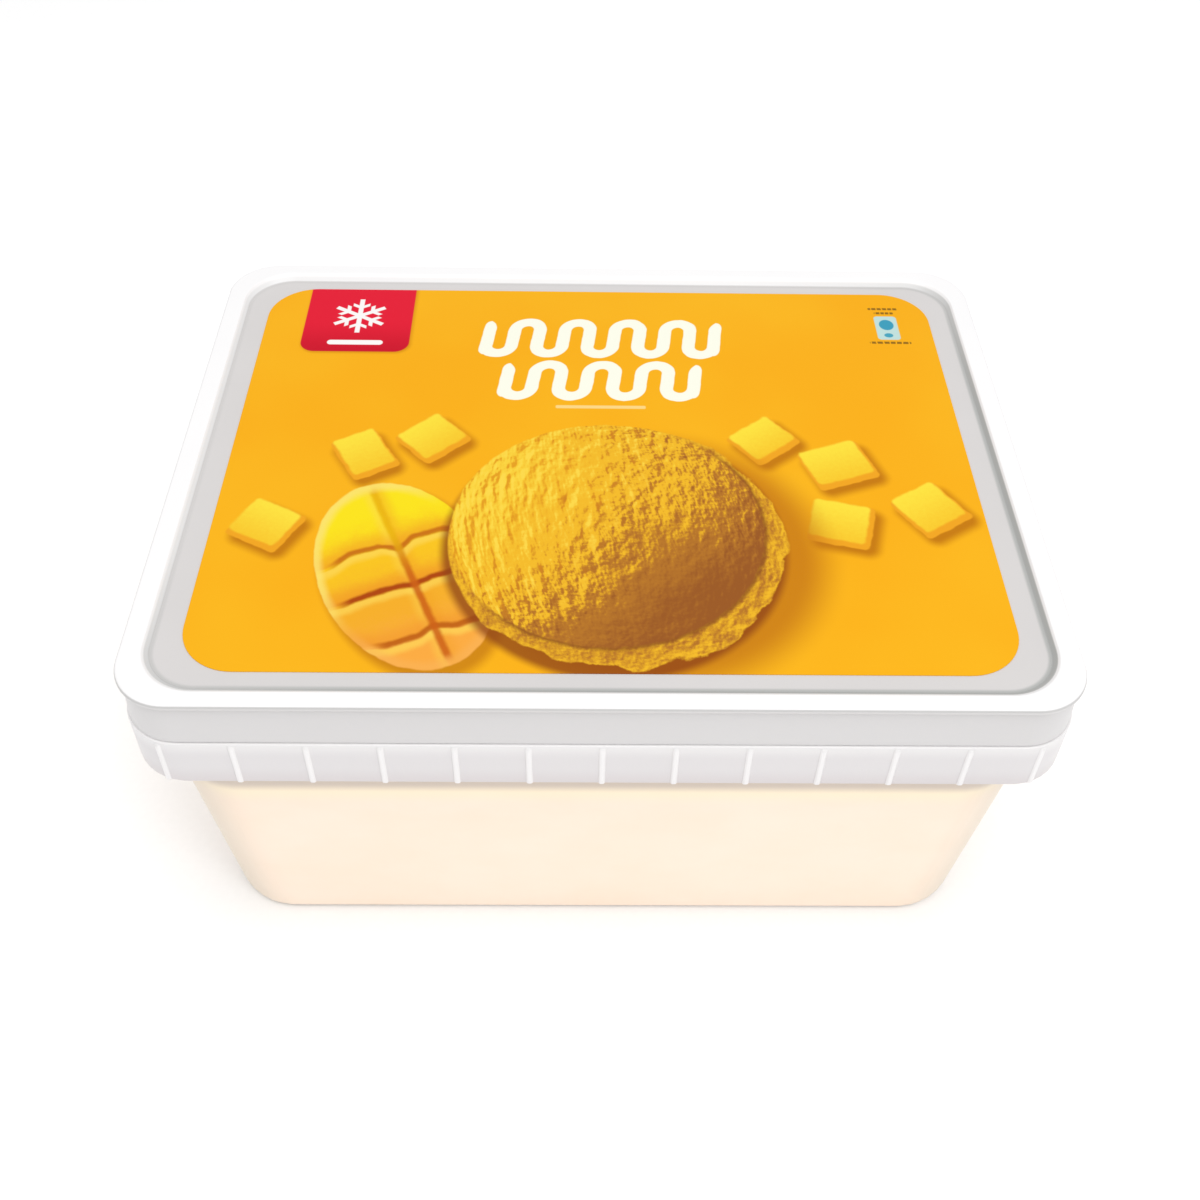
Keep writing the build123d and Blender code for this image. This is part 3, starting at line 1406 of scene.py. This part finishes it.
@dataclass
class Lid:
    """The push-on lid: lip, skirt, flat rim and sunk panel.

    Attributes:
        corner: The radius of its corners.
        rim_corner: The radius of the rim's inner corners.
        panel_corner: The radius of the panel's corners.
        lip: The thickness of the lip that overhangs the skirt.
        lip_rounding: The rounding of the lip's edges.
        skirt_top: How far the skirt stands in from the lip at its top.
        skirt_foot: How far it stands in at its lower edge.
        wall: The skirt's thickness.
        rim_ends: The rim's width at the tub's ends.
        rim_sides: The rim's width along the tub's sides.
        panel_ends: How far the panel's foot stands in at the ends.
        panel_sides: How far it stands in along the sides.
        panel_depth: How far the panel is sunk.
        panel_wall: The panel's thickness.
        ceiling_rounding: The rounding between the skirt and the panel's underside.
        inner_rounding: The rounding of the skirt's lower inner edge.
        foot_rounding: The rounding of the skirt's lower outer edge.
        root_rounding: The rounding between the skirt and the lip.
        rim_rounding: The rounding of the rim's inner edge.
        panel_rounding: The rounding of the groove at the panel's foot.
        panel_ring: How far in a ring holds the panel's shading flat.
        low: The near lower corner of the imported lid's box.
        high: The far upper corner of that box.
    """

    corner: float = 11 * MM
    rim_corner: float = 11 * MM
    panel_corner: float = 10 * MM
    lip: float = 1.5 * MM
    lip_rounding: float = 0.6 * MM
    skirt_top: float = 0.9 * MM
    skirt_foot: float = 0.1 * MM
    wall: float = 1.3 * MM
    rim_ends: float = 4.2 * MM
    rim_sides: float = 3.5 * MM
    panel_ends: float = 5.3 * MM
    panel_sides: float = 5.2 * MM
    panel_depth: float = 1.4 * MM
    panel_wall: float = 1.0 * MM
    ceiling_rounding: float = 0.5 * MM
    inner_rounding: float = 0.45 * MM
    foot_rounding: float = 0.12 * MM
    root_rounding: float = 0.25 * MM
    rim_rounding: float = 0.35 * MM
    panel_rounding: float = 0.4 * MM
    panel_ring: float = 1.5 * MM
    low: Vector = field(default_factory=lambda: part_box("lid")[0])
    high: Vector = field(default_factory=lambda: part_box("lid")[1])

    def outline(
        self, ends: float, sides: Optional[float] = None, corner: Optional[float] = None,
    ) -> Outline:
        """Works out the lid's outline moved inward.

        Args:
            ends: How far the ends move.
            sides: How far the sides move, the same as the ends if left out.
            corner: The corner's radius, worked out from the ends if left out.

        Returns:
            The outline.
        """
        size = self.high - self.low
        sides = ends if sides is None else sides
        corner = self.corner - ends if corner is None else corner
        return Outline(size.x - 2 * ends, size.y - 2 * sides, corner)

    def panel(self) -> Outline:
        """Returns the outline of the panel's foot."""
        return self.outline(self.panel_ends, self.panel_sides, self.panel_corner)

    def profile(self) -> list[Bend]:
        """Works out the profile's corners.

        Returns:
            The corners, from under the panel round the skirt to the panel's top.
        """
        foot, top = self.low.z, self.high.z
        ceiling = top - self.panel_depth - self.panel_wall
        inside = self.outline(self.skirt_foot + self.wall)
        floor = top - self.panel_depth
        return [
            Bend(inside.inset(CAP_INSET), ceiling),
            Bend(inside, ceiling, self.ceiling_rounding),
            Bend(inside, foot, self.inner_rounding),
            Bend(self.outline(self.skirt_foot), foot, self.foot_rounding),
            Bend(self.outline(self.skirt_top), top - self.lip, self.root_rounding),
            Bend(self.outline(0.0), top - self.lip, self.lip_rounding),
            Bend(self.outline(0.0), top, self.lip_rounding),
            Bend(self.outline(self.rim_ends, self.rim_sides, self.rim_corner), top, self.rim_rounding),
            Bend(self.panel(), floor, self.panel_rounding),
            Bend(self.panel().inset(self.panel_ring), floor),
            Bend(self.panel().inset(CAP_INSET), floor),
        ]

    def build(self) -> bpy.types.Object:
        """Builds the lid and dresses it.

        Returns:
            The piece.
        """
        piece = sweep("lid_moulding", rounded(self.profile(), 6), plain_stations(14, 16))
        middle = (self.low + self.high) / 2
        piece.location = (middle.x, middle.y, 0)
        piece.data.materials.append(LidPlastic(self.high.z / MM, self.panel()).material())
        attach(piece, ROOT)
        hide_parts("lid")
        return piece


@dataclass
class Tub:
    """The filled tub: tapered body on a foot ring, and a ribbed collar hanging from a ledge.

    Attributes:
        lid: The lid, which the collar and the neck follow.
        body_top: The body's outline at the collar's lower edge.
        draft: The lean of the body's walls, in radians.
        corner_taper: How much the body's corners tighten for each unit of taper.
        foot_rounding: The rounding of the body's lower edge.
        foot_ring: The width of the ring that the tub stands on.
        foot_recess: How far the middle of the underside is raised.
        recess_flare: How far the recess widens towards the ring.
        ring_rounding: The rounding of the ring's inner edge.
        gate_radius: The radius of the moulding mark in the middle of the underside.
        gate_height: How far that mark stands out.
        gate_flare: How far the mark widens towards its root.
        gate_root: The rounding at its root.
        gate_cap: How far the face that closes the mark stands in from its edge.
        lid_gap: The gap between the ledge and the lid's skirt.
        collar_depth: The collar's height.
        collar_top: How far the collar stands in from the lid at its top, less than 0 for out.
        collar_foot: How far it stands in at its lower edge.
        collar_wall: The collar's thickness.
        collar_rounding: The rounding of the collar's upper edge.
        ledge: The thickness of the ledge.
        ledge_rounding: The rounding between the body and the ledge.
        neck_gap: The gap between the neck and the lid's skirt.
        ribs: The number of ribs.
        rib_width: A rib's width.
        rib_proud: How far a rib stands out of the collar.
        rib_flank: The shape of a rib's side: places in half widths from its middle, and how much of
            the rib stands there.
        rib_fade: How far under the ledge the ribs start and end their fade into the collar.
        bay_steps: The number of steps between two ribs.
        slight: The rounding of the finest edges.
        plain: The rounding of the foot recess, the collar's foot and the neck's top.
    """

    lid: Lid
    body_top: Outline = Outline(175.2 * MM, 133.2 * MM, 16 * MM)
    draft: float = math.radians(3.7)
    corner_taper: float = 0.25
    foot_rounding: float = 2.5 * MM
    foot_ring: float = 5.0 * MM
    foot_recess: float = 0.9 * MM
    recess_flare: float = 0.6 * MM
    ring_rounding: float = 0.5 * MM
    gate_radius: float = 4.0 * MM
    gate_height: float = 0.5 * MM
    gate_flare: float = 0.3 * MM
    gate_root: float = 0.15 * MM
    gate_cap: float = 1.5 * MM
    lid_gap: float = 0.15 * MM
    collar_depth: float = 11.6 * MM
    collar_top: float = -0.3 * MM
    collar_foot: float = -0.6 * MM
    collar_wall: float = 0.9 * MM
    collar_rounding: float = 0.25 * MM
    ledge: float = 1.4 * MM
    ledge_rounding: float = 0.3 * MM
    neck_gap: float = 0.5 * MM
    ribs: int = 45
    rib_width: float = 1.3 * MM
    rib_proud: float = 0.4 * MM
    rib_flank: tuple[tuple[float, float], ...] = ((0.35, 1.0), (0.7, 0.75), (0.95, 0.1), (1.25, 0.0))
    rib_fade: tuple[float, float] = (0.9 * MM, 0.35 * MM)
    bay_steps: int = 6
    slight: float = 0.2 * MM
    plain: float = 0.4 * MM

    def body(self, height: float) -> Outline:
        """Works out the body's outline at a height.

        Args:
            height: The height above the foot.

        Returns:
            The outline.
        """
        inset = (self.collar_z() - height) * math.tan(self.draft)
        return Outline(
            self.body_top.length - 2 * inset,
            self.body_top.width - 2 * inset,
            self.body_top.corner - inset * self.corner_taper,
        )

    def ledge_z(self) -> float:
        """Returns the height of the ledge's top."""
        return self.lid.low.z - self.lid_gap

    def collar_z(self) -> float:
        """Returns the height of the collar's lower edge."""
        return self.ledge_z() - self.collar_depth

    def profile(self) -> list[Bend]:
        """Works out the profile's corners.

        Returns:
            The corners, from the moulding mark round the body to the neck's top.
        """
        lid, foot = self.lid, self.body(0.0)
        recess = foot.inset(self.foot_rounding + self.foot_ring)
        mark = Outline(2 * self.gate_radius, 2 * self.gate_radius, self.gate_radius * 0.99)
        ceiling = self.ledge_z() - self.ledge
        low, high = self.collar_z(), self.ledge_z()
        outer_low, outer_high = lid.outline(self.collar_foot), lid.outline(self.collar_top)
        inner_low, inner_high = outer_low.inset(self.collar_wall), outer_high.inset(self.collar_wall)
        web_low = (self.body(low).length - inner_low.length) / 2
        web_high = (self.body(ceiling).length - inner_high.length) / 2
        fade_start, fade_end = self.rib_fade
        neck = lid.outline(lid.skirt_foot + lid.wall + self.neck_gap)
        neck_top = lid.high.z - lid.panel_depth - lid.panel_wall
        gate_z = self.foot_recess - self.gate_height
        return [
            Bend(mark.inset(self.gate_cap), gate_z),
            Bend(mark, gate_z, self.slight),
            Bend(mark.inset(-self.gate_flare), self.foot_recess, self.gate_root),
            Bend(recess, self.foot_recess, self.plain),
            Bend(recess.inset(-self.recess_flare), 0.0, self.ring_rounding),
            Bend(foot, 0.0, self.foot_rounding),
            Bend(self.body(ceiling), ceiling, self.ledge_rounding),
            Bend(inner_high, ceiling, self.slight, web_high),
            Bend(inner_low, low, self.plain, web_low),
            Bend(outer_low, low, self.plain, self.rib_proud),
            Bend(outer_high, high - fade_start, 0.0, self.rib_proud),
            Bend(outer_high, high - fade_end),
            Bend(outer_high, high, self.collar_rounding),
            Bend(neck, high, self.slight),
            Bend(neck, neck_top, self.plain),
            Bend(neck.inset(CAP_INSET), neck_top),
        ]

    def stations(self) -> list[Station]:
        """Lists the stations, close together over each rib and even between them.

        Returns:
            The stations, anticlockwise from the middle of the front.
        """
        path = self.lid.outline(self.collar_foot)
        pitch = sum(path.span_lengths()) / self.ribs
        half = self.rib_width / 2
        shape = [(-place * half, crest) for place, crest in self.rib_flank[::-1]]
        shape += [(place * half, crest) for place, crest in self.rib_flank]
        side = shape[-1][0]
        step = (pitch - 2 * side) / self.bay_steps
        stations = []
        for rib in range(self.ribs):
            middle = rib * pitch
            stations += [path.walk(middle + place, crest) for place, crest in shape]
            stations += [path.walk(middle + side + step * index) for index in range(1, self.bay_steps)]
        return stations

    def build(self) -> bpy.types.Object:
        """Builds the tub and dresses it.

        Returns:
            The piece.
        """
        piece = sweep("tub_moulding", rounded(self.profile()), self.stations())
        body = self.body(self.collar_z())
        sizes = (self.collar_z(), self.ledge_z(), body.length / 2, body.width / 2)
        finish = TubPlastic(*(size / MM for size in sizes), self.draft)
        piece.data.materials.append(finish.material())
        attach(piece, ROOT)
        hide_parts("tub")
        return piece


@dataclass
class Label:
    """The printed film that lies on the lid's panel.

    Attributes:
        corner: The radius of its corners.
        edge: The rounding of its upper edge.
        ring: How far in a ring holds its shading flat.
        under_cap: How far the face that closes its underside stands in.
        top_cap: How far the one on top does.
    """

    corner: float = 11 * MM
    edge: float = 0.08 * MM
    ring: float = 0.6 * MM
    under_cap: float = 3.0 * MM
    top_cap: float = 4.0 * MM

    def build(self) -> bpy.types.Object:
        """Builds the film and dresses it.

        Returns:
            The piece.
        """
        low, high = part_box("label")
        size, middle = high - low, (low + high) / 2
        whole = Outline(size.x, size.y, self.corner)
        profile = [
            Bend(whole.inset(self.under_cap), low.z),
            Bend(whole, low.z, self.edge / 4),
            Bend(whole, high.z, self.edge),
            Bend(whole.inset(self.ring), high.z),
            Bend(whole.inset(self.top_cap), high.z),
        ]
        piece = sweep("label_film", rounded(profile, 4), plain_stations(12, 16))
        piece.data.transform(Matrix.Translation((middle.x, middle.y, 0)))
        piece.data.materials.append(LabelFilm(middle.y / MM).material())
        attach(piece, ROOT)
        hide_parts("label")
        return piece


class Light(Enum):
    """The studio's soft lights, each named by what it does."""

    TOP = "top"
    KEY = "key"


@dataclass(frozen=True)
class Softbox:
    """A square soft light that looks at the tub.

    Attributes:
        place: Where it hangs.
        span: The length of its side.
        power: Its power in watts.
    """

    place: Vector
    span: float
    power: float

    def hang(self, name: str, target: Vector) -> None:
        """Makes the light and turns it to the target.

        Args:
            name: The light's name.
            target: The place that it looks at.
        """
        lamp = bpy.data.lights.new(name, "AREA")
        lamp.size = self.span
        lamp.energy = self.power
        holder = bpy.data.objects.new(name, lamp)
        holder.location = self.place
        holder.rotation_euler = (target - self.place).to_track_quat("-Z", "Y").to_euler()
        bpy.context.scene.collection.objects.link(holder)


@dataclass
class Studio:
    """A plain pale floor, an even white surround and soft lights.

    Attributes:
        floor_span: The length of the floor's side.
        surround: The strength of the white surround.
        lights: The soft lights.
    """

    floor_span: float = 6.0
    surround: float = 0.66
    lights: dict = field(default_factory=lambda: {
        Light.TOP: Softbox(Vector((0.06, -0.28, 1.35)), 1.1, 11.2),
        Light.KEY: Softbox(Vector((0.75, -0.8, 0.95)), 0.5, 2.0),
    })

    def build(self) -> None:
        """Lays the floor, lights the scene and sets how colours are shown."""
        mesh = bpy.data.meshes.new("studio_floor")
        build = bmesh.new()
        bmesh.ops.create_grid(build, x_segments=8, y_segments=8, size=self.floor_span / 2)
        build.to_mesh(mesh)
        build.free()
        floor = bpy.data.objects.new("studio_floor", mesh)
        floor.data.materials.append(FloorPaper().material())
        bpy.context.scene.collection.objects.link(floor)
        world = bpy.data.worlds.new("white surround")
        world.use_nodes = True
        backing = world.node_tree.nodes["Background"]
        backing.inputs["Color"].default_value = (1, 1, 1, 1)
        backing.inputs["Strength"].default_value = self.surround
        bpy.context.scene.world = world
        middle = (CAD_BOX[0] + CAD_BOX[1]) / 2
        for light, softbox in self.lights.items():
            softbox.hang(f"{light.value}_light", middle)
        bpy.context.scene.view_settings.view_transform = "Standard"


@dataclass(frozen=True)
class Viewpoint:
    """The camera, which looks down on the tub's front.

    Attributes:
        place: Its place from the middle of the lid's rim.
        dip: How far it looks down, in degrees.
        turn: How far it is turned anticlockwise from +Y, in degrees.
        roll: How far it is rolled, in degrees.
        lens: Its focal length in millimetres.
        nearest: The closest that it sees, in metres.
    """

    place: Vector = field(default_factory=lambda: Vector((-4.6, -211.9, 188.0)) * MM)
    dip: float = 48.0
    turn: float = -1.38
    roll: float = -1.4
    lens: float = 39.32
    nearest: float = 0.01

    def build(self) -> None:
        """Makes the camera and sets it as the scene's own."""
        dip, turn, roll = (math.radians(a) for a in (self.dip, self.turn, self.roll))
        yaw = Matrix.Rotation(turn, 3, "Z")
        ahead = yaw @ Vector((0, math.cos(dip), -math.sin(dip)))
        right = yaw @ Vector((1, 0, 0))
        down = yaw @ Vector((0, -math.sin(dip), -math.cos(dip)))
        across = right * math.cos(roll) + down * math.sin(roll)
        below = down * math.cos(roll) - right * math.sin(roll)
        axes = Matrix((across, -below, -ahead)).transposed().to_4x4()
        data = bpy.data.cameras.new("camera")
        data.lens = self.lens
        data.clip_start = self.nearest
        camera = bpy.data.objects.new("camera", data)
        rim = Vector((0, 0, CAD_BOX[1].z))
        camera.matrix_world = Matrix.Translation(rim + self.place) @ axes
        bpy.context.scene.collection.objects.link(camera)
        bpy.context.scene.camera = camera


def main() -> None:
    """Builds the camera, the studio and each piece, and reports each piece."""
    logging.basicConfig(level=logging.INFO, format="%(message)s")
    Viewpoint().build()
    Studio().build()
    lid = Lid()
    for piece in (Tub(lid).build(), lid.build(), Label().build()):
        log.info("%s: %d faces", piece.name, len(piece.data.polygons))


if __name__ == "__main__":
    main()
